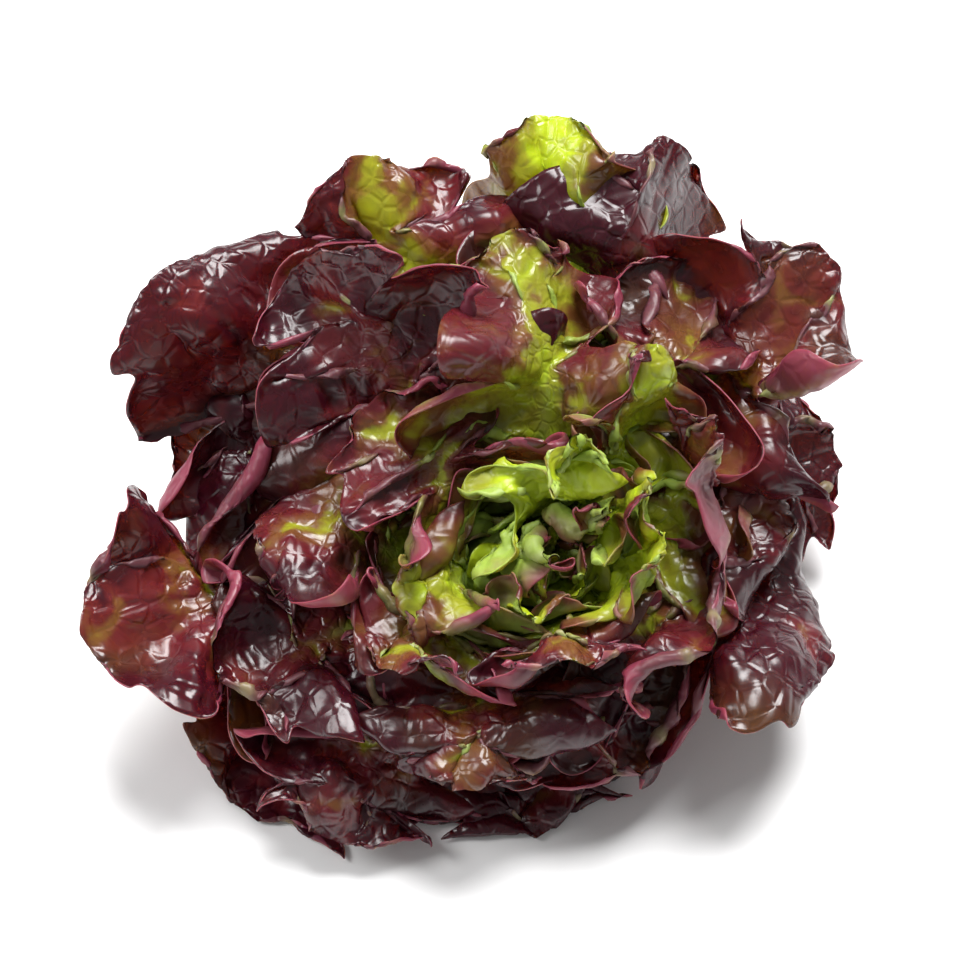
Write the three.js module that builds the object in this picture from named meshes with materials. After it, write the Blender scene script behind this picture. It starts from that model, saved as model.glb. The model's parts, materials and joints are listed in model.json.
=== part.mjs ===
// A head of red oak-leaf lettuce, as cut, standing on the cut end of its stem and on its lowest leaves.
// A short tapering stem carries a rosette of lobed leaves in a spiral: the oldest at the bottom, spread wide and
// drooping onto the table, the youngest upright in the heart. The head has flopped to the front and a little to
// the right, as a loose head does when it is set down, so its back leaves stand up and its front leaves lie flat.
// Millimetres, +Z up. The origin is the middle of the cut face, and the front is -Y.
import * as THREE from "three";

// ---- Driving dimensions ----
const LEAF_COUNT = 36;
const TURN = 137.5; // degrees from one leaf to the next round the stem
const FIRST_LEAF_AT = -128; // degrees, the direction of the lowest leaf

const STEM_HEIGHT = 50;
const CUT_RADIUS = 13.5; // the cut face that the head stands on
const STEM_RADIUS = 15.5; // its widest, just above the cut
const STEM_WIDEST_AT = 7; // height of the widest place
const STEM_TIP_RADIUS = 3.2;
const STEM_SIDES = 24;

const LOWEST_LEAF_AT = 5; // height on the stem
const TOP_LEAF_BELOW_TIP = 5; // from the youngest leaf up to the top of the stem
const SEAT_GAP = 0.35; // between a leaf's foot and the stem

const OUTER_LEAF_LENGTH = 153;
const LONGER_AT_BACK = 0.22; // how much longer the back leaves are, and how much shorter the front ones
const SHORTER_AT_SIDES = 0.1;
const HEART_LEAF_LENGTH = 44;
const OUTER_LEAF_HALF_WIDTH = 47;
const HEART_LEAF_HALF_WIDTH = 11;
const LEAF_THICKNESS = 1.0; // the blade's margin
const FOOT_THICKNESS = 1.7; // the leaf's foot, at the stem
const TABLE_GAP = 0.15; // from the table to the lowest leaves
const LEAF_GAP = 0.4; // between two leaves that lie on each other at the table
const LEAF_REACH_ROUND = 0.95; // radians round the stem from a leaf's rib to its margin, at most

const FLOP_FORWARD = 0.62; // how far the heart leans to the front and to the right, as a share of its height
const FLOP_RIGHT = 0.42;
const FLOP_START = 28; // height over which the lean sets in
const FLOP_REACH = 75; // distance from the middle of the head at which only half of the lean is left

const BEND_LENGTH = 125; // length over which a leaf bends from its foot angle to its tip angle
const FOOT_ANGLE = { front: 26, back: 54, heart: 86 }; // degrees above level
const TIP_ANGLE = { front: -56, back: 36, heart: 80 };

const LOBE_PAIRS = 3; // lobes along each margin
const SINUS_DEPTH = 0.36; // how far the gaps between lobes cut in, as a share of the half width
const LOBE_SWEEP = 0.08; // how far the lobes point to the tip, as a share of the leaf's length
const RUFFLE = 0.036; // how far lobes wave up and down, as a share of their distance from the foot
const STATIONS = 15; // points along a leaf
const ACROSS = 5; // points across a leaf

const radians = THREE.MathUtils.degToRad;
const mix = THREE.MathUtils.lerp;

// ---- The stem ----
// Radius of the stem at a height: a short flare above the cut, then an even taper to the growing tip.
function stemRadius(z) {
  if (z < STEM_WIDEST_AT) return mix(CUT_RADIUS, STEM_RADIUS, z / STEM_WIDEST_AT);
  return mix(STEM_RADIUS, STEM_TIP_RADIUS, (z - STEM_WIDEST_AT) / (STEM_HEIGHT - STEM_WIDEST_AT));
}

// The lean of the head: nothing at the table, more with height, and more in the heart than out at the leaf tips.
function flopped(x, y, z) {
  const inward = 1 / (1 + (x * x + y * y) / FLOP_REACH ** 2);
  const lean = (inward * z * z) / (z + FLOP_START);
  return new THREE.Vector3(x + FLOP_RIGHT * lean, y - FLOP_FORWARD * lean, z);
}

function makeStem() {
  const profile = [new THREE.Vector2(0, 0), new THREE.Vector2(CUT_RADIUS, 0)];
  const rings = 8;
  for (let i = 1; i <= rings; i++) {
    const z = (STEM_HEIGHT * i) / rings;
    profile.push(new THREE.Vector2(stemRadius(z), z));
  }
  profile.push(new THREE.Vector2(0, STEM_HEIGHT + STEM_TIP_RADIUS / 2));
  const stem = new THREE.LatheGeometry(profile, STEM_SIDES).rotateX(Math.PI / 2);
  const at = stem.getAttribute("position");
  for (let i = 0; i < at.count; i++) {
    const p = flopped(at.getX(i), at.getY(i), at.getZ(i));
    at.setXYZ(i, p.x, p.y, p.z);
  }
  return stem;
}

// ---- A leaf ----
// What sets one leaf apart: its age (0 the lowest, 1 the youngest), direction, length, width and wave.
function leafPlan(index) {
  const age = index / (LEAF_COUNT - 1);
  const shrink = age ** 2.4;
  const direction = radians(FIRST_LEAF_AT + TURN * index + 5 * Math.sin(2.3 * index));
  return {
    index,
    age,
    direction,
    rise: mix(LOWEST_LEAF_AT, STEM_HEIGHT - TOP_LEAF_BELOW_TIP, age),
    upright: age ** 1.25,
    length:
      mix(OUTER_LEAF_LENGTH, HEART_LEAF_LENGTH, shrink) *
      (1 + 0.05 * Math.sin(1.7 * index) + LONGER_AT_BACK * Math.sin(direction) - SHORTER_AT_SIDES * Math.cos(direction) ** 2),
    halfWidth: mix(OUTER_LEAF_HALF_WIDTH, HEART_LEAF_HALF_WIDTH, shrink) * (1 + 0.06 * Math.cos(2.9 * index)),
    wavePhase: 1.9 * index,
  };
}

// The leaf cut flat: distance along it and across it, for u from foot to tip and v from margin to margin.
function flatPlace(leaf, u, v) {
  const side = Math.abs(v);
  const foot = 0.55 * stemRadius(leaf.rise);
  const spread = THREE.MathUtils.smoothstep(u, 0.08, 0.62) * (1 - 0.32 * u ** 8);
  const gaps = (0.5 + 0.5 * Math.cos(2 * Math.PI * (LOBE_PAIRS * u + 0.1 * Math.sign(v)))) ** 2;
  const lobed = 1 - SINUS_DEPTH * gaps * THREE.MathUtils.smoothstep(u, 0.1, 0.4);
  const half = mix(foot, leaf.halfWidth * lobed, spread);
  const sweep = LOBE_SWEEP * Math.sin(Math.PI * u) ** 0.8 * side ** 1.4;
  const crown = 0.06 * u ** 5 * (1 - side ** 2);
  return { along: leaf.length * (0.94 * u + sweep + crown), across: v * half };
}

// Where a point of a leaf lies before the head flops: the leaf is part of a surface round the stem, whose profile
// is an arc that starts on the stem, and which lies lower at the front than at the back.
function profilePlace(leaf, along, direction, thickness) {
  const back = 0.5 + 0.5 * Math.sin(direction);
  const foot = radians(mix(mix(FOOT_ANGLE.front, FOOT_ANGLE.back, back), FOOT_ANGLE.heart, leaf.upright));
  const tip = radians(mix(mix(TIP_ANGLE.front, TIP_ANGLE.back, back), TIP_ANGLE.heart, leaf.upright));
  const bend = (tip - foot) / BEND_LENGTH;
  const start = stemRadius(leaf.rise) + SEAT_GAP + (thickness / 2) * Math.sin(foot);
  const angle = foot + bend * along;
  return {
    radius: start + (Math.sin(angle) - Math.sin(foot)) / bend,
    height: leaf.rise - (Math.cos(angle) - Math.cos(foot)) / bend,
  };
}

// The lowest a leaf's middle surface can lie in some direction: on the table, or on the older leaves spread there.
function restingHeight(leaf, direction, thickness) {
  let height = TABLE_GAP + 0.7 * thickness;
  for (let older = 0; older < leaf.index; older++) {
    const away = Math.acos(Math.cos(direction - leafPlan(older).direction));
    height += (1 - THREE.MathUtils.smoothstep(away, LEAF_REACH_ROUND, 1.15 * LEAF_REACH_ROUND)) * (FOOT_THICKNESS + LEAF_GAP);
  }
  return height;
}

function leafPoint(leaf, u, v) {
  const thickness = mix(FOOT_THICKNESS, LEAF_THICKNESS, u);
  const { along, across } = flatPlace(leaf, u, v);
  const middle = profilePlace(leaf, along, leaf.direction, thickness);
  const turn = THREE.MathUtils.clamp(across / middle.radius, -LEAF_REACH_ROUND, LEAF_REACH_ROUND);
  const direction = leaf.direction + turn;
  const { radius, height } = profilePlace(leaf, along, direction, thickness);
  const wave = Math.sin(2 * Math.PI * LOBE_PAIRS * u * 0.5 + leaf.wavePhase + (v > 0 ? 1.1 : 0));
  const ruffle = RUFFLE * along * Math.abs(v) ** 1.5 * wave * THREE.MathUtils.smoothstep(u, 0.15, 0.6);
  const p = flopped(radius * Math.cos(direction), radius * Math.sin(direction), height + ruffle);
  p.z = Math.max(p.z, restingHeight(leaf, direction, thickness));
  return p;
}

// A closed solid: the leaf's middle surface, with half the thickness added on each face and a strip round the rim.
function makeLeaf(leaf) {
  const us = Array.from({ length: STATIONS }, (_, i) => i / (STATIONS - 1));
  const vs = Array.from({ length: ACROSS }, (_, j) => (2 * j) / (ACROSS - 1) - 1);
  const middle = us.map((u) => vs.map((v) => leafPoint(leaf, u, v)));
  const positions = [];
  for (const face of [1, -1]) {
    us.forEach((u, i) =>
      vs.forEach((v, j) => {
        const along = middle[Math.min(i + 1, STATIONS - 1)][j].clone().sub(middle[Math.max(i - 1, 0)][j]);
        const across = middle[i][Math.min(j + 1, ACROSS - 1)].clone().sub(middle[i][Math.max(j - 1, 0)]);
        const normal = along.cross(across).normalize();
        const half = mix(FOOT_THICKNESS, LEAF_THICKNESS, u) / 2;
        positions.push(...middle[i][j].clone().addScaledVector(normal, face * half).toArray());
      }),
    );
  }
  const index = [];
  const quad = (a, b, c, d) => index.push(a, b, c, a, c, d);
  const at = (face, i, j) => (face * STATIONS + i) * ACROSS + j;
  for (let i = 0; i < STATIONS - 1; i++) {
    for (let j = 0; j < ACROSS - 1; j++) {
      quad(at(0, i, j), at(0, i + 1, j), at(0, i + 1, j + 1), at(0, i, j + 1));
      quad(at(1, i, j), at(1, i, j + 1), at(1, i + 1, j + 1), at(1, i + 1, j));
    }
    quad(at(0, i, 0), at(1, i, 0), at(1, i + 1, 0), at(0, i + 1, 0));
    quad(at(0, i, ACROSS - 1), at(0, i + 1, ACROSS - 1), at(1, i + 1, ACROSS - 1), at(1, i, ACROSS - 1));
  }
  for (let j = 0; j < ACROSS - 1; j++) {
    quad(at(0, 0, j), at(0, 0, j + 1), at(1, 0, j + 1), at(1, 0, j));
    quad(at(0, STATIONS - 1, j), at(1, STATIONS - 1, j), at(1, STATIONS - 1, j + 1), at(0, STATIONS - 1, j + 1));
  }
  const leafShape = new THREE.BufferGeometry();
  leafShape.setAttribute("position", new THREE.Float32BufferAttribute(positions, 3));
  leafShape.setIndex(index);
  leafShape.computeVertexNormals();
  return leafShape;
}

// ---- The head ----
const stemFlesh = new THREE.MeshStandardMaterial({ color: "#d8dcae", roughness: 0.55, metalness: 0 });
const head = new THREE.Group();
const stem = new THREE.Mesh(makeStem(), stemFlesh);
stem.name = "stem";
head.add(stem);

const outerColour = new THREE.Color("#4a1420");
const heartColour = new THREE.Color("#8fa52c");
for (let i = 0; i < LEAF_COUNT; i++) {
  const plan = leafPlan(i);
  const colour = outerColour.clone().lerp(heartColour, plan.age ** 1.5);
  const blade = new THREE.MeshStandardMaterial({ color: colour, roughness: 0.4, metalness: 0 });
  const leaf = new THREE.Mesh(makeLeaf(plan), blade);
  leaf.name = `leaf_${String(i + 1).padStart(2, "0")}`;
  head.add(leaf);
}

export default head;
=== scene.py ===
import json
import math

import bpy
import numpy as np
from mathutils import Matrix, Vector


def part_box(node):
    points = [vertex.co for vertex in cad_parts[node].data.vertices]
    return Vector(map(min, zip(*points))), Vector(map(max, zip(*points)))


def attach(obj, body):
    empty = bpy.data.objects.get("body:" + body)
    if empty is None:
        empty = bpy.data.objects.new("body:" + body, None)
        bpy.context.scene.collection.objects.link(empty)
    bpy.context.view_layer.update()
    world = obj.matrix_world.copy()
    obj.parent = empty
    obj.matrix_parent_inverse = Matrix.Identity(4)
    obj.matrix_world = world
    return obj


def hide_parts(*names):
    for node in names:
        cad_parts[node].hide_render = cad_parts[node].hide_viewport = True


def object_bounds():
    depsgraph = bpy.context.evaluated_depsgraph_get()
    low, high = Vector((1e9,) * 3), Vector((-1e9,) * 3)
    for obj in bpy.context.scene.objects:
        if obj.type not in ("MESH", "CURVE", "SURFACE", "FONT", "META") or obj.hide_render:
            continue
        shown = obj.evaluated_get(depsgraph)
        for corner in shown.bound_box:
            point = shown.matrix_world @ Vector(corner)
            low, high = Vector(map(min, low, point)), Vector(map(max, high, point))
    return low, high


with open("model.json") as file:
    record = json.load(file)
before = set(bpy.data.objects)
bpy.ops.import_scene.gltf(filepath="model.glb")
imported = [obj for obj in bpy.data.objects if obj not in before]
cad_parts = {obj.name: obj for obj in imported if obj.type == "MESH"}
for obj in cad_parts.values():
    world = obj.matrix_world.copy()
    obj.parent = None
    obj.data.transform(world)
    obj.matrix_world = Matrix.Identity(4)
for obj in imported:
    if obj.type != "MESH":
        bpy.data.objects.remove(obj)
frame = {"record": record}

cad_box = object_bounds()
MM = 0.001


# ---- The stem ----
# The core that carries every leaf: one short, fleshy, tapering stem, milky white at the cut and pale green above.
# It was cut straight across with a knife, so the cut face is flat, a little sunken, with a ring of sap vessels.
# It leans to the front and right with the rest of the head.
stem_low, stem_high = (np.array(corner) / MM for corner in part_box("stem"))
stem_tip_radius = 3.2
stem_height = stem_high[2] - stem_tip_radius / 2
stem_cut_radius, stem_radius, stem_widest_at = 13.5, 15.5, 7.0
lean_forward, lean_right, lean_start, lean_reach = 0.62, 0.42, 28.0, 75.0


def stem_radius_at(z):
    flare = stem_cut_radius + (stem_radius - stem_cut_radius) * z / stem_widest_at
    taper = stem_radius + (stem_tip_radius - stem_radius) * (z - stem_widest_at) / (stem_height - stem_widest_at)
    return np.where(z < stem_widest_at, flare, taper)


def leaned(p):
    inward = 1 / (1 + (p[..., 0] ** 2 + p[..., 1] ** 2) / lean_reach**2)
    lean = inward * p[..., 2] ** 2 / (np.maximum(p[..., 2], 0) + lean_start)
    return p + lean[..., None] * np.array([lean_right, -lean_forward, 0.0])


def input_of(tree, name, kind, default):
    socket = tree.interface.new_socket(name, in_out="INPUT", socket_type=kind)
    if kind != "NodeSocketGeometry" and kind != "NodeSocketMaterial":
        socket.default_value = default
    return socket.identifier


def node(tree, kind, **settings):
    made = tree.nodes.new(kind)
    for key, value in settings.items():
        setattr(made, key, value)
    return made


def wire(tree, source, target):
    tree.links.new(source, target)


def maths(tree, operation, a, b=None, c=None, clamp=False):
    m = node(tree, "ShaderNodeMath", operation=operation, use_clamp=clamp)
    for slot, value in zip(m.inputs, (a, b, c)):
        if value is None:
            continue
        if isinstance(value, (int, float)):
            slot.default_value = value
        else:
            wire(tree, value, slot)
    return m.outputs[0]


def scaled(tree, vector, factor):
    s = node(tree, "ShaderNodeVectorMath", operation="SCALE")
    wire(tree, vector, s.inputs[0])
    wire(tree, factor, s.inputs["Scale"])
    return s.outputs[0]


def stepped(tree, value, low, high):
    m = node(tree, "ShaderNodeMapRange", interpolation_type="SMOOTHSTEP")
    m.inputs["From Min"].default_value, m.inputs["From Max"].default_value = low, high
    wire(tree, value, m.inputs["Value"])
    return m.outputs["Result"]


def blended(tree, factor, a, b, blend="MIX"):
    m = node(tree, "ShaderNodeMix", data_type="RGBA", blend_type=blend)
    for slot, value in ((m.inputs[0], factor), (m.inputs[6], a), (m.inputs[7], b)):
        if isinstance(value, tuple):
            slot.default_value = (*value, 1)
        elif isinstance(value, (int, float)):
            slot.default_value = value
        else:
            wire(tree, value, slot)
    return m.outputs[2]


# Turned like a spindle: from the middle of the sunken cut face out to its rim, up the side, and over the growing tip.
stem_sides, cut_sunk = 120, 0.9
cut_at = np.linspace(0, 1, 22)[1:]
side_at = np.linspace(0, stem_height, 80)[1:]
tip_turn = np.linspace(0, np.pi / 2, 10)[1:-1]
ring_radius = np.concatenate([stem_cut_radius * cut_at, stem_radius_at(side_at), stem_tip_radius * np.cos(tip_turn)])
ring_z = np.concatenate([cut_sunk * (1 - cut_at**6), side_at, stem_height + stem_tip_radius / 2 * np.sin(tip_turn)])
ring_turn = np.linspace(0, 2 * np.pi, stem_sides, endpoint=False)
rings = np.stack([
    ring_radius[:, None] * np.cos(ring_turn), ring_radius[:, None] * np.sin(ring_turn), ring_z[:, None] + 0 * ring_turn
], -1)
ends = np.array([[0, 0, cut_sunk], [0, 0, stem_height + stem_tip_radius / 2]])
core_points = leaned(np.concatenate([rings.reshape(-1, 3), ends])) * MM
ring_count = len(ring_radius)
spot = np.arange(ring_count * stem_sides).reshape(ring_count, stem_sides)
onward = np.roll(spot, -1, axis=1)
core_faces = np.stack([spot[:-1], onward[:-1], onward[1:], spot[1:]], -1).reshape(-1, 4).tolist()
core_faces += [(ring_count * stem_sides, b, a) for a, b in zip(spot[0], onward[0])]
core_faces += [(ring_count * stem_sides + 1, a, b) for a, b in zip(spot[-1], onward[-1])]
core_mesh = bpy.data.meshes.new("stem_core")
core_mesh.from_pydata(core_points, [], core_faces)
core = bpy.data.objects.new("stem_core", core_mesh)
bpy.context.scene.collection.objects.link(core)

# The tree raises the scars that old leaves left round the side; the sap vessels in the cut stand out only through the
# skin's bump.
flesh = bpy.data.node_groups.new("stem_flesh", "GeometryNodeTree")
core_in = input_of(flesh, "Core", "NodeSocketGeometry", None)
scar_in = input_of(flesh, "Scar height", "NodeSocketFloat", 0.0006)
scar_size_in = input_of(flesh, "Scar size", "NodeSocketFloat", 0.006)
flesh_seed_in = input_of(flesh, "Seed", "NodeSocketFloat", 0.0)
flesh_skin_in = input_of(flesh, "Skin", "NodeSocketMaterial", None)
flesh.interface.new_socket("Stem", in_out="OUTPUT", socket_type="NodeSocketGeometry")
F = node(flesh, "NodeGroupInput").outputs
squat = node(flesh, "ShaderNodeVectorMath", operation="MULTIPLY")
wire(flesh, node(flesh, "GeometryNodeInputPosition").outputs[0], squat.inputs[0])
squat.inputs[1].default_value = (1.0, 1.0, 2.6)
scars = node(flesh, "ShaderNodeTexNoise", noise_dimensions="4D")
scars.inputs["Detail"].default_value = 3.0
wire(flesh, squat.outputs[0], scars.inputs["Vector"])
wire(flesh, F["Seed"], scars.inputs["W"])
wire(flesh, maths(flesh, "DIVIDE", 1.0, F["Scar size"]), scars.inputs["Scale"])
height_here = node(flesh, "ShaderNodeSeparateXYZ")
wire(flesh, node(flesh, "GeometryNodeInputPosition").outputs[0], height_here.inputs[0])
off_cut = stepped(flesh, height_here.outputs[2], 0.001, 0.004)
bulge = maths(flesh, "MULTIPLY", maths(flesh, "SUBTRACT", scars.outputs["Fac"], 0.5), off_cut)
scarred = node(flesh, "GeometryNodeSetPosition")
wire(flesh, F["Core"], scarred.inputs["Geometry"])
core_normal = node(flesh, "GeometryNodeInputNormal").outputs[0]
wire(flesh, scaled(flesh, core_normal, maths(flesh, "MULTIPLY", bulge, F["Scar height"])), scarred.inputs["Offset"])
core_smooth = node(flesh, "GeometryNodeSetShadeSmooth")
wire(flesh, scarred.outputs[0], core_smooth.inputs["Geometry"])
core_whole = node(flesh, "GeometryNodeRealizeInstances")
wire(flesh, core_smooth.outputs[0], core_whole.inputs[0])
core_skinned = node(flesh, "GeometryNodeSetMaterial")
wire(flesh, core_whole.outputs[0], core_skinned.inputs["Geometry"])
wire(flesh, F["Skin"], core_skinned.inputs["Material"])
wire(flesh, core_skinned.outputs[0], node(flesh, "NodeGroupOutput").inputs[0])

# Milky flesh at the cut, tan where it has dried at the rim and in the ring of vessels; pale green higher up.
stem_skin = bpy.data.materials.new("stem_flesh")
stem_skin.use_nodes = True
t = stem_skin.node_tree
shader = t.nodes["Principled BSDF"]
where = node(t, "ShaderNodeTexCoord").outputs["Object"]
split = node(t, "ShaderNodeSeparateXYZ")
wire(t, where, split.inputs[0])
off_axis = maths(t, "SQRT", maths(t, "ADD", maths(t, "POWER", split.outputs[0], 2.0), maths(t, "POWER", split.outputs[1], 2.0)))
dots = node(t, "ShaderNodeTexVoronoi")
dots.inputs["Scale"].default_value = 520.0
wire(t, where, dots.inputs["Vector"])
in_ring = maths(t, "SUBTRACT", 1.0, stepped(t, maths(t, "ABSOLUTE", maths(t, "SUBTRACT", off_axis, 0.0092)), 0.0008, 0.0018))
vessels = maths(t, "MULTIPLY", maths(t, "SUBTRACT", 1.0, stepped(t, dots.outputs["Distance"], 0.2, 0.45)), in_ring)
cloudy = node(t, "ShaderNodeTexNoise")
cloudy.inputs["Scale"].default_value, cloudy.inputs["Detail"].default_value = 260.0, 5.0
wire(t, where, cloudy.inputs["Vector"])
dried = maths(t, "MULTIPLY", stepped(t, off_axis, 0.0105, 0.0135), stepped(t, cloudy.outputs["Fac"], 0.35, 0.65))
cut_colour = blended(t, cloudy.outputs["Fac"], (0.62, 0.60, 0.42), (0.74, 0.73, 0.58))
cut_colour = blended(t, maths(t, "MAXIMUM", maths(t, "MULTIPLY", vessels, 0.7), dried), cut_colour, (0.30, 0.17, 0.08))
side_colour = blended(t, cloudy.outputs["Fac"], (0.44, 0.50, 0.20), (0.60, 0.64, 0.36))
flesh_colour = blended(t, stepped(t, split.outputs[2], 0.001, 0.004), cut_colour, side_colour)
wire(t, flesh_colour, shader.inputs["Base Color"])
wire(t, maths(t, "ADD", 0.3, maths(t, "MULTIPLY", cloudy.outputs["Fac"], 0.3)), shader.inputs["Roughness"])
shader.inputs["Subsurface Weight"].default_value = 0.2
shader.inputs["Subsurface Radius"].default_value = (0.003, 0.0025, 0.0012)
shader.inputs["Subsurface Scale"].default_value = 1.0
grained = node(t, "ShaderNodeBump")
grained.inputs["Strength"].default_value, grained.inputs["Distance"].default_value = 0.5, 0.0004
wire(t, maths(t, "ADD", cloudy.outputs["Fac"], maths(t, "MULTIPLY", vessels, 0.5)), grained.inputs["Height"])
wire(t, grained.outputs[0], shader.inputs["Normal"])

grow = core.modifiers.new("flesh", "NODES")
grow.node_group = flesh
grow[scar_in], grow[scar_size_in], grow[flesh_seed_in], grow[flesh_skin_in] = 0.0009, 0.006, 4.0, stem_skin
stem_made = bpy.data.meshes.new_from_object(core.evaluated_get(bpy.context.evaluated_depsgraph_get()))
stem_piece = bpy.data.objects.new("stem_flesh", stem_made)
bpy.context.scene.collection.objects.link(stem_piece)
bpy.data.objects.remove(core)
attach(stem_piece, "root")
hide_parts("stem")


# ---- The leaves ----
# Thirty-six oak-leaf shaped leaves, each with a fleshy pale midrib and a thin blistered blade cut into round lobes.
# The oldest are dark burgundy and wide, the youngest yellow-green and small, and each grows straight from the stem.
# A blade grows more than its rib does, most of all at the lobes, and the spare surface buckles into domes and curls.
leaf_count = 36
turn_to_next = 137.5
first_leaf_at = -128
lowest_leaf_at, top_leaf_below_tip = 5.0, 5.0
seat_gap = 0.35
outer_length, heart_length = 153.0, 44.0
longer_at_back, shorter_at_sides = 0.22, 0.1
outer_half_width, heart_half_width = 47.0, 11.0
margin_thickness, foot_thickness = 1.0, 1.7
bend_length = 125.0
foot_angle = {"front": 26, "back": 54, "heart": 86}
tip_angle = {"front": -56, "back": 36, "heart": 52}

along_count, across_count = 58, 25
lobe_pairs = 4.6
rng = np.random.default_rng(20)


def mix(a, b, t):
    return a + (b - a) * t


def smoothstep(x, low, high):
    t = np.clip((x - low) / (high - low), 0, 1)
    return t * t * (3 - 2 * t)


number = np.arange(leaf_count)
age = number / (leaf_count - 1)
shrink = age**2.4
heading = np.radians(first_leaf_at + turn_to_next * number + 5 * np.sin(2.3 * number))
rise = mix(lowest_leaf_at, stem_height - top_leaf_below_tip, age)
upright = age**1.25
length = mix(outer_length, heart_length, shrink) * (
    1 + 0.05 * np.sin(1.7 * number) + longer_at_back * np.sin(heading) - shorter_at_sides * np.cos(heading) ** 2
)
length[[6, 9, 12]] *= [1.16, 1.1, 1.02]
half_width = mix(outer_half_width, heart_half_width, shrink) * (1 + 0.06 * np.cos(2.9 * number))


def per_leaf(values):
    return np.asarray(values)[:, None, None]


u = np.linspace(0, 1, along_count)[None, :, None] + np.zeros((leaf_count, 1, across_count))
v = np.linspace(-1, 1, across_count)[None, None, :] + np.zeros((leaf_count, along_count, 1))
side = np.abs(v)

# The blade as it would lie pressed flat: a narrow foot, then lobes that widen to the top third and sweep forward.
foot_half = 0.55 * per_leaf(stem_radius_at(rise))
spread = smoothstep(u, 0.05, 0.42) * (1 - 0.36 * smoothstep(u, 0.60, 0.84))
spread *= np.sqrt(np.clip(1 - ((u - 0.82) / 0.185) ** 2 * (u > 0.82), 0, 1))
lobe_phase = -0.10 + per_leaf(rng.uniform(-0.12, 0.12, leaf_count)) + 0.1 * np.sign(v) * smoothstep(1 - u, 0, 0.3)
lobe_place = lobe_pairs * u + lobe_phase
gap = 1 - np.sqrt(np.clip(1 - abs(2 * (lobe_place % 1) - 1) ** 2.6, 0, 1))
sinus = 0.80 * gap * smoothstep(u, 0.04, 0.2) * (1 - smoothstep(u, 0.86, 0.92))
flat_across = np.sign(v) * mix(foot_half, per_leaf(half_width), spread) * side * (1 - sinus * side**0.2)
sweep = 0.07 * np.sin(np.pi * u**1.1) * side**1.4
tip_round = 0.02 * u**8 * (1 - side**2)
flat_along = per_leaf(length) * (0.94 * u + sweep + tip_round)


def placed(along, heading_here, thickness):
    back = 0.5 + 0.5 * np.sin(heading_here)
    foot = np.radians(mix(mix(foot_angle["front"], foot_angle["back"], back), foot_angle["heart"], per_leaf(upright)))
    tip = np.radians(mix(mix(tip_angle["front"], tip_angle["back"], back), tip_angle["heart"], per_leaf(upright)))
    bend = (tip - foot) / bend_length
    start = per_leaf(stem_radius_at(rise)) + seat_gap + thickness / 2 * np.sin(foot)
    angle = foot + bend * along
    return start + (np.sin(angle) - np.sin(foot)) / bend, per_leaf(rise) - (np.cos(angle) - np.cos(foot)) / bend


thickness = mix(foot_thickness, margin_thickness, u)
middle_radius, _ = placed(flat_along, per_leaf(heading), thickness)
turned = per_leaf(heading) + np.clip(flat_across / middle_radius, -0.95, 0.95)
radius, height = placed(flat_along, turned, thickness)
nest = leaned(np.stack([radius * np.cos(turned), radius * np.sin(turned), height], -1))
inward = 1 / (1 + (nest[..., 0] ** 2 + nest[..., 1] ** 2) / lean_reach**2)
nest[..., 0] += 0.42 * inward * np.maximum(nest[..., 2] - 32, 0) * smoothstep(u, 0.1, 0.5)
nest[..., 2] = np.maximum(nest[..., 2], 0.9)


# How much more each spot of the blade grows than the rib does: none at the rib, most in the lobes, in soft patches.
def soft_patches(scale, seed):
    patch_rng = np.random.default_rng(seed)
    total = np.zeros_like(u)
    for _ in range(10):
        direction = patch_rng.uniform(0, 2 * np.pi, (leaf_count, 1, 1))
        phase = patch_rng.uniform(0, 2 * np.pi, (leaf_count, 1, 1))
        step = patch_rng.uniform(0.75, 1.3, (leaf_count, 1, 1)) / scale
        total += np.sin(2 * np.pi * step * (flat_along * np.cos(direction) + flat_across * np.sin(direction)) + phase)
    return total / math.sqrt(10)


lobe_body = (1 - gap) * smoothstep(u, 0.1, 0.3)
dome_growth = 1.1 * lobe_body * smoothstep(side, 0.1, 0.8) * (1 - 0.6 * smoothstep(u, 0.86, 1))
tip_growth = 0.8 * smoothstep(u, 0.76, 0.88) * (1 - 0.7 * smoothstep(u, 0.9, 1))
blister_growth = 0.26 * soft_patches(15.0, 3) * smoothstep(side, 0.05, 0.3) * smoothstep(u, 0.08, 0.3)
growth = 1 + np.maximum(dome_growth, tip_growth) + blister_growth

# The domed or cupped set of each lobe, as a bend per grid step: outer lobes mostly roll down at their margins.
lobe_number = np.where(u > 0.84, 9, np.floor(lobe_place) + 10 * (v > 0))
lobe_roll = np.take_along_axis(
    rng.normal(0, 1, (leaf_count, 24)), lobe_number.astype(int).clip(0, 23).reshape(leaf_count, -1), 1
).reshape(u.shape)
roll = (mix(0.6, -0.5, per_leaf(age)) + 1.9 * lobe_roll) * smoothstep(side + u**4, 0.2, 0.8)

# Lobes also stand up from the blade or hang from it, each by its own amount.
lobe_lift = np.take_along_axis(
    rng.normal(0, 1, (leaf_count, 24)), lobe_number.astype(int).clip(0, 23).reshape(leaf_count, -1), 1
).reshape(u.shape)
lobe_twist = np.roll(lobe_lift[::-1], 3, axis=0) * (2 * (lobe_place % 1) - 1)
lift_height = (23.0 * lobe_lift * (side**1.4 + 0.7 * u**5) + 17.0 * lobe_twist * side) * smoothstep(u, 0.15, 0.5)
lift_height += per_leaf(rng.normal(0, 14.0, leaf_count)) * u**1.5 + per_leaf(rng.normal(0, 16.0, leaf_count)) * v * u
lift_height *= per_leaf(length / outer_length)


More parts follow.
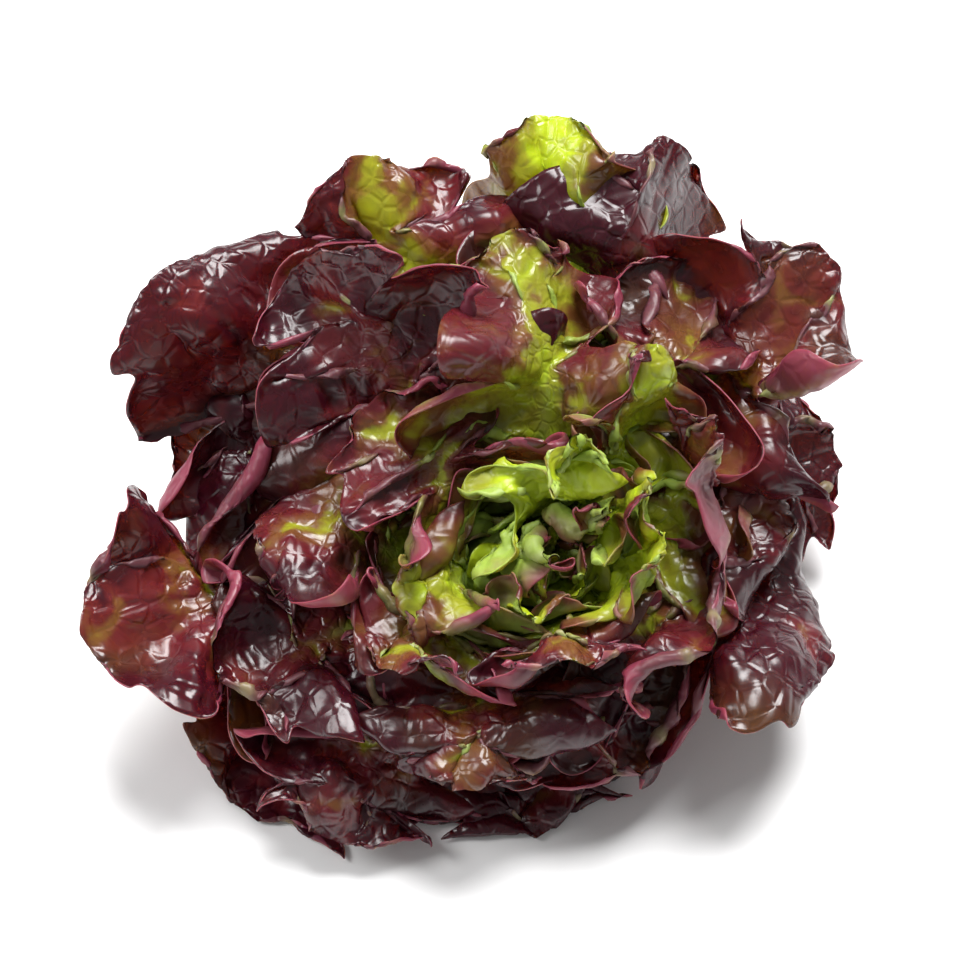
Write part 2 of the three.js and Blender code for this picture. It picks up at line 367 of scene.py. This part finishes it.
def near_pairs(points, reach):
    cell = np.floor(points / reach).astype(np.int64)
    cell -= cell.min(0) - 1
    wide, tall = cell[:, 1].max() + 3, cell[:, 2].max() + 3
    key = (cell[:, 0] * wide + cell[:, 1]) * tall + cell[:, 2]
    order = np.argsort(key, kind="stable")
    sorted_key = key[order]
    found = []
    steps = [(x, y, z) for x in (-1, 0, 1) for y in (-1, 0, 1) for z in (-1, 0, 1) if (x, y, z) >= (0, 0, 0)]
    for x, y, z in steps:
        wanted = sorted_key + (x * wide + y) * tall + z
        start, end = np.searchsorted(sorted_key, wanted, "left"), np.searchsorted(sorted_key, wanted, "right")
        if (x, y, z) == (0, 0, 0):
            start = np.arange(len(key)) + 1
        count = np.maximum(end - start, 0)
        first = np.repeat(np.arange(len(key)), count)
        offset = np.arange(count.sum()) - np.repeat(np.cumsum(count) - count, count)
        second = np.repeat(start, count) + offset
        a, b = order[first], order[second]
        close = ((points[a] - points[b]) ** 2).sum(-1) < reach * reach
        found.append((a[close], b[close]))
    return np.concatenate([f[0] for f in found]), np.concatenate([f[1] for f in found])


leaf_of = np.repeat(np.arange(leaf_count), along_count * across_count)
row_of = np.tile(np.repeat(np.arange(along_count), across_count), leaf_count)
column_of = np.tile(np.arange(across_count), leaf_count * along_count)
contact = 2.8


def meeting_pairs(points, reach):
    a, b = near_pairs(points, reach)
    apart = (leaf_of[a] != leaf_of[b]) | (abs(row_of[a] - row_of[b]) + abs(column_of[a] - column_of[b]) > 6)
    return a[apart], b[apart]


nest_flat = nest.reshape(-1, 3)
clearance = np.full(len(nest_flat), contact)
a, b = near_pairs(nest_flat, contact)
other = leaf_of[a] != leaf_of[b]
a, b = a[other], b[other]
gap_there = np.linalg.norm(nest_flat[a] - nest_flat[b], axis=1)
np.minimum.at(clearance, a, gap_there * 0.9)
np.minimum.at(clearance, b, gap_there * 0.9)

# Every thread of the sheet, lengthways, across and both diagonals, with the length it wants when fully grown.
ALL = slice(None)


def thread(di, dj):
    rows, columns = along_count - di, across_count - abs(dj)
    near_j = slice(0, columns) if dj >= 0 else slice(-dj, across_count)
    far_j = slice(dj, across_count) if dj >= 0 else slice(0, columns)
    return (ALL, slice(0, rows), near_j), (ALL, slice(di, along_count), far_j)


flat = np.stack([flat_along, flat_across], -1)
threads = []
for di, dj in ((1, 0), (0, 1), (1, 1), (1, -1)):
    near, far = thread(di, dj)
    rest = np.linalg.norm(flat[near] - flat[far], axis=-1)
    spare = (growth[near] + growth[far]) / 2
    for parity in (0, 1):
        step = slice(parity, None, 2)
        pick = (ALL, step) if di else (ALL, ALL, step)
        threads.append((near, far, pick, rest[pick], spare[pick]))


def normals(p):
    along, across = np.gradient(p, axis=1), np.gradient(p, axis=2)
    n = np.cross(along, across)
    return n / np.maximum(np.linalg.norm(n, axis=-1, keepdims=True), 1e-9)


def bend_back(p, stride, stiffness, curl):
    n = normals(p)
    for axis, count in ((1, along_count), (2, across_count)):
        lo = [ALL] * 3; mid = [ALL] * 3; hi = [ALL] * 3
        lo[axis], mid[axis], hi[axis] = slice(0, count - 2 * stride), slice(stride, count - stride), slice(2 * stride, count)
        lo, mid, hi = tuple(lo), tuple(mid), tuple(hi)
        off = (((p[lo] + p[hi]) / 2 - p[mid]) * n[mid]).sum(-1) + curl[mid]
        pull = n[mid] * (off * stiffness[mid])[..., None]
        p[mid] += pull / 2
        p[lo] -= pull / 4
        p[hi] -= pull / 4


hold = 0.30 * np.exp(-((side / 0.12) ** 2)) * (1 - 0.9 * u) + 0.6 * (1 - smoothstep(u, 0.0, 0.12))
hold += 0.006 + 0.01 * per_leaf(age) ** 3
stiffness = np.clip(0.22 + 0.6 * np.exp(-((side / 0.2) ** 2)) * (1 - 0.5 * u) + 0.5 * gap * smoothstep(u, 0.1, 0.3), 0, 1)
roll_per_step = 0.42 * roll
table = 2.4
low_side, high_side = (np.array(corner) / MM for corner in cad_box)
low_side, high_side = low_side - [7, 7, 0], high_side + [7, 7, 8]

target = nest + normals(nest) * lift_height[..., None]
p = nest.copy()
p += rng.normal(0, 0.25, p.shape) * smoothstep(side, 0.2, 0.6)[..., None]
rounds, grown_by = 300, 200
for step in range(rounds):
    share = smoothstep(np.float64(step), 0, grown_by)
    if step < grown_by and step % 12 == 0:
        kick = 1.6 * soft_patches(22.0, 100 + step) * side * (1 - step / grown_by)
        p += normals(p) * kick[..., None]
    for near, far, pick, rest, spare in threads:
        a, b = p[near][pick], p[far][pick]
        d = b - a
        size = np.linalg.norm(d, axis=-1)
        want = rest * (1 + (spare - 1) * share)
        d *= ((size - want) / np.maximum(size, 1e-6) * 0.5 * 0.9)[..., None]
        p[near][pick] += d
        p[far][pick] -= d
    bend_back(p, 1, stiffness, roll_per_step * share * 0.3)
    bend_back(p, 2, stiffness * 0.8, roll_per_step * share)
    p += (mix(nest, target, share) - p) * hold[..., None]
    points = p.reshape(-1, 3)
    if step % 10 == 0:
        pair_a, pair_b = meeting_pairs(points, contact + 1.8)
        wanted_gap = np.minimum(contact, np.minimum(clearance[pair_a], clearance[pair_b]))
        same = leaf_of[pair_a] == leaf_of[pair_b]
        wanted_gap[same] = contact * 0.8
    d = points[pair_a] - points[pair_b]
    size = np.linalg.norm(d, axis=1)
    push = np.clip(wanted_gap - size, 0, None) * 0.35
    hit = push > 0
    d = d[hit] * (push[hit] / np.maximum(size[hit], 1e-6))[:, None]
    for axis in range(3):
        points[:, axis] += np.bincount(pair_a[hit], d[:, axis], len(points))
        points[:, axis] -= np.bincount(pair_b[hit], d[:, axis], len(points))
    points[:, 2] = np.maximum(points[:, 2], table)
    np.clip(p, low_side, high_side, out=p)


# Each sheet is redrawn three times finer, on smooth curves through the grown points.
def finer(values, times, axis):
    values = np.moveaxis(values, axis, 0)
    count = values.shape[0]
    at = np.linspace(0, count - 1, (count - 1) * times + 1)
    i = np.minimum(at.astype(int), count - 2)
    t = (at - i).reshape((-1,) + (1,) * (values.ndim - 1))
    before = np.concatenate([2 * values[:1] - values[1:2], values, 2 * values[-1:] - values[-2:-1]])
    a, b, c, d = before[i], before[i + 1], before[i + 2], before[i + 3]
    out = 0.5 * (2 * b + (c - a) * t + (2 * a - 5 * b + 4 * c - d) * t**2 + (3 * b - a - 3 * c + d) * t**3)
    return np.moveaxis(out, 0, axis)


fine = 3
sheet = finer(finer(p, fine, 1), fine, 2) * MM
rows, columns = sheet.shape[1:3]
fine_u, fine_v = (finer(finer(q, fine, 1), fine, 2) for q in (u, v))
fine_along = finer(finer(flat_along, fine, 1), fine, 2)
fine_across = finer(finer(flat_across, fine, 1), fine, 2)
fine_gap = finer(finer(gap, fine, 1), fine, 2).clip(0, 1)
vein_place = lobe_pairs * (fine_u + 0.10 * (1 - abs(fine_v))) + finer(finer(lobe_phase + 0 * u, fine, 1), fine, 2)
vein_distance = abs(vein_place % 1 - 0.5) / lobe_pairs * per_leaf(length)
vein = np.exp(-((vein_distance / (2.2 - 1.5 * abs(fine_v))) ** 2)) * (1 - 0.75 * abs(fine_v) ** 2)
rib = np.exp(-((fine_across / (4.2 - 3.2 * fine_u)) ** 2))


# The blade tree: raises the blisters, sinks the veins, gives the blade and the rib their thickness and closes the rim.
blade = bpy.data.node_groups.new("lettuce_blade", "GeometryNodeTree")
ids = {
    "sheet": input_of(blade, "Sheet", "NodeSocketGeometry", None),
    "blister height": input_of(blade, "Blister height", "NodeSocketFloat", 0.0011),
    "blister size": input_of(blade, "Blister size", "NodeSocketFloat", 0.0075),
    "vein depth": input_of(blade, "Vein depth", "NodeSocketFloat", 0.0008),
    "blade thickness": input_of(blade, "Blade thickness", "NodeSocketFloat", 0.00055),
    "rib thickness": input_of(blade, "Rib thickness", "NodeSocketFloat", 0.0032),
    "seed": input_of(blade, "Seed", "NodeSocketFloat", 0.0),
    "skin": input_of(blade, "Skin", "NodeSocketMaterial", None),
}
blade.interface.new_socket("Leaf", in_out="OUTPUT", socket_type="NodeSocketGeometry")


def read(tree, name, kind="FLOAT"):
    got = node(tree, "GeometryNodeInputNamedAttribute", data_type=kind)
    got.inputs["Name"].default_value = name
    return next(s for s in got.outputs if s.enabled and s.name == "Attribute")


given = node(blade, "NodeGroupInput")
G = given.outputs
flat_place = read(blade, "flat", "FLOAT_VECTOR")
cells = node(blade, "ShaderNodeTexVoronoi", voronoi_dimensions="4D", feature="SMOOTH_F1")
cells.inputs["Smoothness"].default_value = 0.35
cells.inputs["Randomness"].default_value = 0.9
stray = node(blade, "ShaderNodeTexNoise", noise_dimensions="4D")
stray.inputs["Detail"].default_value = 1.0
stray.inputs["Scale"].default_value = 120.0
wire(blade, flat_place, stray.inputs["Vector"])
wire(blade, G["Seed"], stray.inputs["W"])
strayed = node(blade, "ShaderNodeVectorMath", operation="MULTIPLY_ADD")
wire(blade, stray.outputs["Color"], strayed.inputs[0])
strayed.inputs[1].default_value = (0.011, 0.011, 0.0)
wire(blade, flat_place, strayed.inputs[2])
wire(blade, strayed.outputs[0], cells.inputs["Vector"])
wire(blade, G["Seed"], cells.inputs["W"])
wire(blade, maths(blade, "DIVIDE", 1.0, G["Blister size"]), cells.inputs["Scale"])
dome = maths(blade, "SUBTRACT", 0.45, cells.outputs["Distance"])
small = node(blade, "ShaderNodeTexNoise", noise_dimensions="4D")
small.inputs["Detail"].default_value = 2.0
wire(blade, flat_place, small.inputs["Vector"])
wire(blade, G["Seed"], small.inputs["W"])
wire(blade, maths(blade, "DIVIDE", 0.8, G["Blister size"]), small.inputs["Scale"])
swell = maths(blade, "ADD", maths(blade, "MULTIPLY", dome, 1.1), maths(blade, "MULTIPLY", maths(blade, "SUBTRACT", small.outputs["Fac"], 0.5), 1.9))
rib_here, vein_here, blister_here = read(blade, "rib"), read(blade, "vein"), read(blade, "blister")
raised = maths(blade, "MULTIPLY", maths(blade, "MULTIPLY", swell, G["Blister height"]), blister_here)
sunk = maths(blade, "MULTIPLY", maths(blade, "MAXIMUM", vein_here, rib_here), G["Vein depth"])
relief = maths(blade, "SUBTRACT", raised, sunk)
face_normal = node(blade, "GeometryNodeInputNormal").outputs[0]
shaped = node(blade, "GeometryNodeSetPosition")
wire(blade, G["Sheet"], shaped.inputs["Geometry"])
wire(blade, scaled(blade, face_normal, relief), shaped.inputs["Offset"])
kept_normal = node(blade, "GeometryNodeStoreNamedAttribute", data_type="FLOAT_VECTOR", domain="POINT")
kept_normal.inputs["Name"].default_value = "out"
wire(blade, shaped.outputs[0], kept_normal.inputs["Geometry"])
wire(blade, node(blade, "GeometryNodeInputNormal").outputs[0], next(s for s in kept_normal.inputs if s.name == "Value" and s.enabled))
out = read(blade, "out", "FLOAT_VECTOR")

top = node(blade, "GeometryNodeExtrudeMesh", mode="FACES")
top.inputs["Individual"].default_value = False
top.inputs["Offset Scale"].default_value = 0.0
wire(blade, kept_normal.outputs[0], top.inputs["Mesh"])
top_side = node(blade, "GeometryNodeStoreNamedAttribute", data_type="FLOAT", domain="FACE")
top_side.inputs["Name"].default_value = "upper"
wire(blade, top.outputs["Mesh"], top_side.inputs["Geometry"])
wire(blade, top.outputs["Top"], next(s for s in top_side.inputs if s.name == "Value" and s.enabled))
lifted_points = node(blade, "GeometryNodeStoreNamedAttribute", data_type="FLOAT", domain="POINT")
lifted_points.inputs["Name"].default_value = "lifted"
wire(blade, top_side.outputs[0], lifted_points.inputs["Geometry"])
wire(blade, top.outputs["Top"], next(s for s in lifted_points.inputs if s.name == "Value" and s.enabled))
half_blade = maths(blade, "MULTIPLY", G["Blade thickness"], 0.5)
lift = node(blade, "GeometryNodeSetPosition")
wire(blade, lifted_points.outputs[0], lift.inputs["Geometry"])
is_lifted = maths(blade, "GREATER_THAN", read(blade, "lifted"), 0.01)
wire(blade, scaled(blade, out, maths(blade, "MULTIPLY", half_blade, is_lifted)), lift.inputs["Offset"])

under = node(blade, "GeometryNodeFlipFaces")
wire(blade, kept_normal.outputs[0], under.inputs["Mesh"])
both = node(blade, "GeometryNodeJoinGeometry")
wire(blade, under.outputs[0], both.inputs[0])
wire(blade, lift.outputs[0], both.inputs[0])
weld = node(blade, "GeometryNodeMergeByDistance")
weld.inputs["Distance"].default_value = 0.00001
wire(blade, both.outputs[0], weld.inputs["Geometry"])
lower = node(blade, "GeometryNodeSetPosition")
wire(blade, weld.outputs[0], lower.inputs["Geometry"])
depth = maths(blade, "ADD", half_blade, maths(blade, "MULTIPLY", G["Rib thickness"], read(blade, "rib_bulge")))
downward = maths(blade, "MULTIPLY", maths(blade, "SUBTRACT", is_lifted, 1.0), depth)
wire(blade, scaled(blade, out, downward), lower.inputs["Offset"])
grounded = node(blade, "GeometryNodeSetPosition")
wire(blade, lower.outputs[0], grounded.inputs["Geometry"])
place_now = node(blade, "ShaderNodeSeparateXYZ")
wire(blade, node(blade, "GeometryNodeInputPosition").outputs[0], place_now.inputs[0])
on_table = node(blade, "ShaderNodeCombineXYZ")
wire(blade, place_now.outputs[0], on_table.inputs[0])
wire(blade, place_now.outputs[1], on_table.inputs[1])
lowest_there = maths(blade, "ADD", 0.0002, maths(blade, "MULTIPLY", is_lifted, G["Blade thickness"]))
wire(blade, maths(blade, "MAXIMUM", place_now.outputs[2], lowest_there), on_table.inputs[2])
wire(blade, on_table.outputs[0], grounded.inputs["Position"])
rim_weld = node(blade, "GeometryNodeMergeByDistance")
rim_weld.inputs["Distance"].default_value = 0.000001
wire(blade, grounded.outputs[0], rim_weld.inputs["Geometry"])
smooth = node(blade, "GeometryNodeSetShadeSmooth")
wire(blade, rim_weld.outputs[0], smooth.inputs["Geometry"])
whole = node(blade, "GeometryNodeRealizeInstances")
wire(blade, smooth.outputs[0], whole.inputs[0])
skinned = node(blade, "GeometryNodeSetMaterial")
wire(blade, whole.outputs[0], skinned.inputs["Geometry"])
wire(blade, G["Skin"], skinned.inputs["Material"])
wire(blade, skinned.outputs[0], node(blade, "NodeGroupOutput").inputs[0])


# The skin of a leaf. Burgundy spreads in from the lobes over a green ground, and the rib and the veins stay pale.
# Under a leaf the red is thinner: greyish purple, green near the rib, with a pink margin.
def colour_ramp(tree, factor, stops):
    ramp = node(tree, "ShaderNodeValToRGB")
    ramp.color_ramp.interpolation = "EASE"
    for at, colour in stops[2:]:
        ramp.color_ramp.elements.new(at)
    for element, (at, colour) in zip(ramp.color_ramp.elements, stops):
        element.position, element.color = at, (*colour, 1)
    wire(tree, factor, ramp.inputs[0])
    return ramp.outputs[0]


def attribute(tree, name, kind="Fac"):
    return node(tree, "ShaderNodeAttribute", attribute_name=name).outputs[kind]


def patches(tree, place, scale, detail=3.0):
    n = node(tree, "ShaderNodeTexNoise")
    n.inputs["Scale"].default_value, n.inputs["Detail"].default_value = scale, detail
    wire(tree, place, n.inputs["Vector"])
    return n.outputs["Fac"]


leaf_colours = [(0.35, 0.45, 0.013), (0.24, 0.25, 0.015), (0.125, 0.045, 0.014), (0.088, 0.008, 0.012), (0.032, 0.002, 0.006)]


def leaf_skin(name, redness, gloss):
    skin = bpy.data.materials.new(name)
    skin.use_nodes = True
    t = skin.node_tree
    shader = t.nodes["Principled BSDF"]
    place = attribute(t, "pattern", "Vector")
    along, across = attribute(t, "along"), attribute(t, "across")
    rib_here, vein_here, upper = attribute(t, "rib"), attribute(t, "vein"), attribute(t, "upper")
    big, fine_patch = patches(t, place, 40.0), patches(t, place, 170.0)
    outward = maths(t, "ADD", maths(t, "MULTIPLY", along, 0.75), maths(t, "MULTIPLY", across, 0.55))
    red = maths(t, "ADD", maths(t, "ADD", outward, attribute(t, "redness")), redness)
    red = maths(t, "ADD", red, maths(t, "MULTIPLY", maths(t, "SUBTRACT", big, 0.5), 1.6))
    red = maths(t, "ADD", red, maths(t, "MULTIPLY", maths(t, "SUBTRACT", fine_patch, 0.5), 0.5))
    red = maths(t, "SUBTRACT", red, maths(t, "MULTIPLY", vein_here, 0.22))
    stops = [(at, colour) for at, colour in zip((0.0, 0.35, 0.55, 0.75, 1.0), leaf_colours)]
    face = colour_ramp(t, maths(t, "MULTIPLY", red, 1.0, clamp=True), stops)
    bronzed = maths(t, "MULTIPLY", stepped(t, patches(t, place, 24.0, 4.0), 0.5, 0.72), stepped(t, red, 0.3, 0.7))
    face = blended(t, maths(t, "MULTIPLY", bronzed, 0.6), face, (0.075, 0.040, 0.014))
    rib_fade = maths(t, "SUBTRACT", 1.0, stepped(t, along, 0.25, 0.8))
    rib_tint = maths(t, "MULTIPLY", maths(t, "MULTIPLY", rib_here, rib_fade), stepped(t, maths(t, "SUBTRACT", 1.25, red), 0.0, 0.9))
    face = blended(t, maths(t, "MULTIPLY", rib_tint, 0.75), face, (0.44, 0.52, 0.15))
    back_red = stepped(t, red, 0.2, 0.85)
    back = blended(t, back_red, (0.25, 0.35, 0.045), (0.105, 0.028, 0.036))
    margin = stepped(t, maths(t, "ADD", across, maths(t, "MULTIPLY", big, 0.3)), 0.85, 1.15)
    back = blended(t, maths(t, "MULTIPLY", maths(t, "MULTIPLY", margin, back_red), 0.65), back, (0.24, 0.025, 0.06))
    back = blended(t, maths(t, "MULTIPLY", maths(t, "MAXIMUM", rib_here, maths(t, "MULTIPLY", vein_here, 0.5)), 0.7),
                   back, (0.36, 0.40, 0.16))
    colour = blended(t, upper, back, face)
    wire(t, colour, shader.inputs["Base Color"])
    rough = maths(t, "ADD", gloss, maths(t, "MULTIPLY", fine_patch, 0.22))
    rough = maths(t, "ADD", rough, maths(t, "MULTIPLY", maths(t, "SUBTRACT", 1.0, upper), 0.16))
    wire(t, rough, shader.inputs["Roughness"])
    shader.inputs["Specular IOR Level"].default_value = 0.42
    shader.inputs["Subsurface Weight"].default_value = 0.3
    shader.inputs["Subsurface Radius"].default_value = (0.0030, 0.0025, 0.0008)
    shader.inputs["Subsurface Scale"].default_value = 1.0
    bump = node(t, "ShaderNodeBump")
    bump.inputs["Strength"].default_value, bump.inputs["Distance"].default_value = 0.5, 0.0005
    pores = patches(t, place, 700.0, 2.0)
    net = node(t, "ShaderNodeTexVoronoi", feature="DISTANCE_TO_EDGE")
    net.inputs["Scale"].default_value = 210.0
    wire(t, place, net.inputs["Vector"])
    grain = maths(t, "ADD", maths(t, "MULTIPLY", pores, 0.3), stepped(t, net.outputs["Distance"], 0.0, 0.18))
    wire(t, grain, bump.inputs["Height"])
    wire(t, bump.outputs[0], shader.inputs["Normal"])
    return skin


skins = {
    "outer_leaf": leaf_skin("leaf_burgundy", 0.02, 0.15),
    "middle_leaf": leaf_skin("leaf_copper", 0.0, 0.17),
    "heart_leaf": leaf_skin("leaf_green", -0.34, 0.26),
}
slot_of = {part["node"]: part["material_slot"] for part in frame["record"]["subparts"]}
quads = np.arange(rows * columns).reshape(rows, columns)
quads = np.stack([quads[:-1, :-1], quads[1:, :-1], quads[1:, 1:], quads[:-1, 1:]], -1).reshape(-1, 4)
leaf_redness = 0.36 - 0.66 * age + rng.uniform(-0.2, 0.16, leaf_count)
leaf_redness[[5, 7, 12]] -= [0.26, 0.2, 0.34]
leaf_redness -= 0.46 * np.clip(np.sin(heading), 0, 1) ** 4 * smoothstep(age, 0.05, 0.22) * (1 - smoothstep(age, 0.75, 0.95))


def spot_values(mesh, name, values, kind="FLOAT", key="value"):
    layer = mesh.attributes.new(name, kind, "POINT")
    layer.data.foreach_set(key, np.ascontiguousarray(values, dtype=np.float32).ravel())


for k in range(leaf_count):
    name = f"leaf_{k + 1:02d}"
    mesh = bpy.data.meshes.new(f"{name}_sheet")
    mesh.from_pydata(sheet[k].reshape(-1, 3), [], quads)
    flat_here = np.stack([fine_along[k], fine_across[k], 0 * fine_along[k]], -1) * MM
    spot_values(mesh, "flat", flat_here, "FLOAT_VECTOR", "vector")
    spot_values(mesh, "pattern", flat_here + [0.31 * k, 0.17 * k, 0], "FLOAT_VECTOR", "vector")
    spot_values(mesh, "along", fine_u[k])
    spot_values(mesh, "across", abs(fine_v[k]))
    spot_values(mesh, "rib", rib[k])
    spot_values(mesh, "vein", vein[k])
    spot_values(mesh, "rib_bulge", np.exp(-((fine_across[k] / (5.0 - 3.6 * fine_u[k])) ** 2)) * (1 - fine_u[k]) ** 1.3)
    spot_values(mesh, "blister", smoothstep(fine_u[k], 0.05, 0.25) * smoothstep(abs(fine_v[k]), 0.0, 0.2)
                * (1 - smoothstep(abs(fine_v[k]), 0.93, 1.0) * 0.7) * (1 - 0.8 * fine_gap[k])
                * smoothstep(sheet[k, ..., 2] / MM, 1.5, 8.0))
    spot_values(mesh, "redness", np.full(rows * columns, leaf_redness[k]))
    raw = bpy.data.objects.new(f"{name}_sheet", mesh)
    bpy.context.scene.collection.objects.link(raw)
    grow = raw.modifiers.new("blade", "NODES")
    grow.node_group = blade
    size_here = float(mix(1.0, 0.6, age[k] ** 1.5))
    grow[ids["blister height"]] = 0.0032 * size_here
    grow[ids["blister size"]] = 0.0075 * size_here
    grow[ids["vein depth"]] = 0.0009 * size_here
    grow[ids["rib thickness"]] = 0.0034 * size_here
    grow[ids["blade thickness"]] = 0.00055
    grow[ids["seed"]] = float(k)
    grow[ids["skin"]] = skins[slot_of[name]]
    evaluated = raw.evaluated_get(bpy.context.evaluated_depsgraph_get())
    made = bpy.data.meshes.new_from_object(evaluated)
    piece = bpy.data.objects.new(f"{name}_blade", made)
    bpy.context.scene.collection.objects.link(piece)
    bpy.data.objects.remove(raw)
    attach(piece, "root")
    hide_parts(name)


# ---- The floor ----
# A plain pale surface that runs on out of sight.
low, high = (np.array(corner) for corner in cad_box)
middle = (low + high) / 2
floor_mesh = bpy.data.meshes.new("floor")
reach = 6.0
floor_mesh.from_pydata([(-reach, -reach, 0), (reach, -reach, 0), (reach, reach, 0), (-reach, reach, 0)], [], [(0, 1, 2, 3)])
floor = bpy.data.objects.new("floor", floor_mesh)
bpy.context.scene.collection.objects.link(floor)
pale = bpy.data.materials.new("floor_white")
pale.use_nodes = True
pale.node_tree.nodes["Principled BSDF"].inputs["Base Color"].default_value = (0.9, 0.9, 0.9, 1)
pale.node_tree.nodes["Principled BSDF"].inputs["Roughness"].default_value = 0.7
floor_mesh.materials.append(pale)


# ---- The light ----
# A bright, even studio: white all round, one large soft light behind and above, a weaker one from the left.
world = bpy.data.worlds.new("studio")
bpy.context.scene.world = world
world.use_nodes = True
world.node_tree.nodes["Background"].inputs[0].default_value = (1, 1, 1, 1)
sky = world.node_tree
above = node(sky, "ShaderNodeSeparateXYZ")
wire(sky, node(sky, "ShaderNodeTexCoord").outputs["Generated"], above.inputs[0])
overhead = stepped(sky, above.outputs[2], 0.1, 0.35)
wire(sky, maths(sky, "SUBTRACT", 1.0, maths(sky, "MULTIPLY", overhead, 0.71)), sky.nodes["Background"].inputs[1])


def soft_light(name, at, width, power):
    lamp = bpy.data.lights.new(name, "SUN")
    lamp.angle, lamp.energy = math.radians(width), power
    lit = bpy.data.objects.new(name, lamp)
    bpy.context.scene.collection.objects.link(lit)
    lit.location = middle + np.array(at)
    toward = -np.array(at)
    lit.rotation_euler = (math.atan2(math.hypot(toward[0], toward[1]), -toward[2]), 0,
                          math.atan2(toward[1], toward[0]) - math.pi / 2)
    return lit


soft_light("top_light", (0.15, 0.55, 1.0), 34, 6.2)
soft_light("left_light", (-0.8, 0.1, 0.8), 24, 1.7)


# ---- The camera ----
# Looks down on the head from the front.
view_height, view_distance = math.radians(57), 1.1
camera_data = bpy.data.cameras.new("camera")
camera_data.sensor_width = 36
camera_data.lens = 36 * view_distance / 0.366
camera = bpy.data.objects.new("camera", camera_data)
bpy.context.scene.collection.objects.link(camera)
aim = middle + np.array([0.0, 0.0, -0.004])
camera.location = aim + view_distance * np.array([0, -math.cos(view_height), math.sin(view_height)])
camera.rotation_euler = (math.pi / 2 - view_height, 0, 0)
bpy.context.scene.camera = camera
bpy.context.scene.view_settings.view_transform = "Standard"
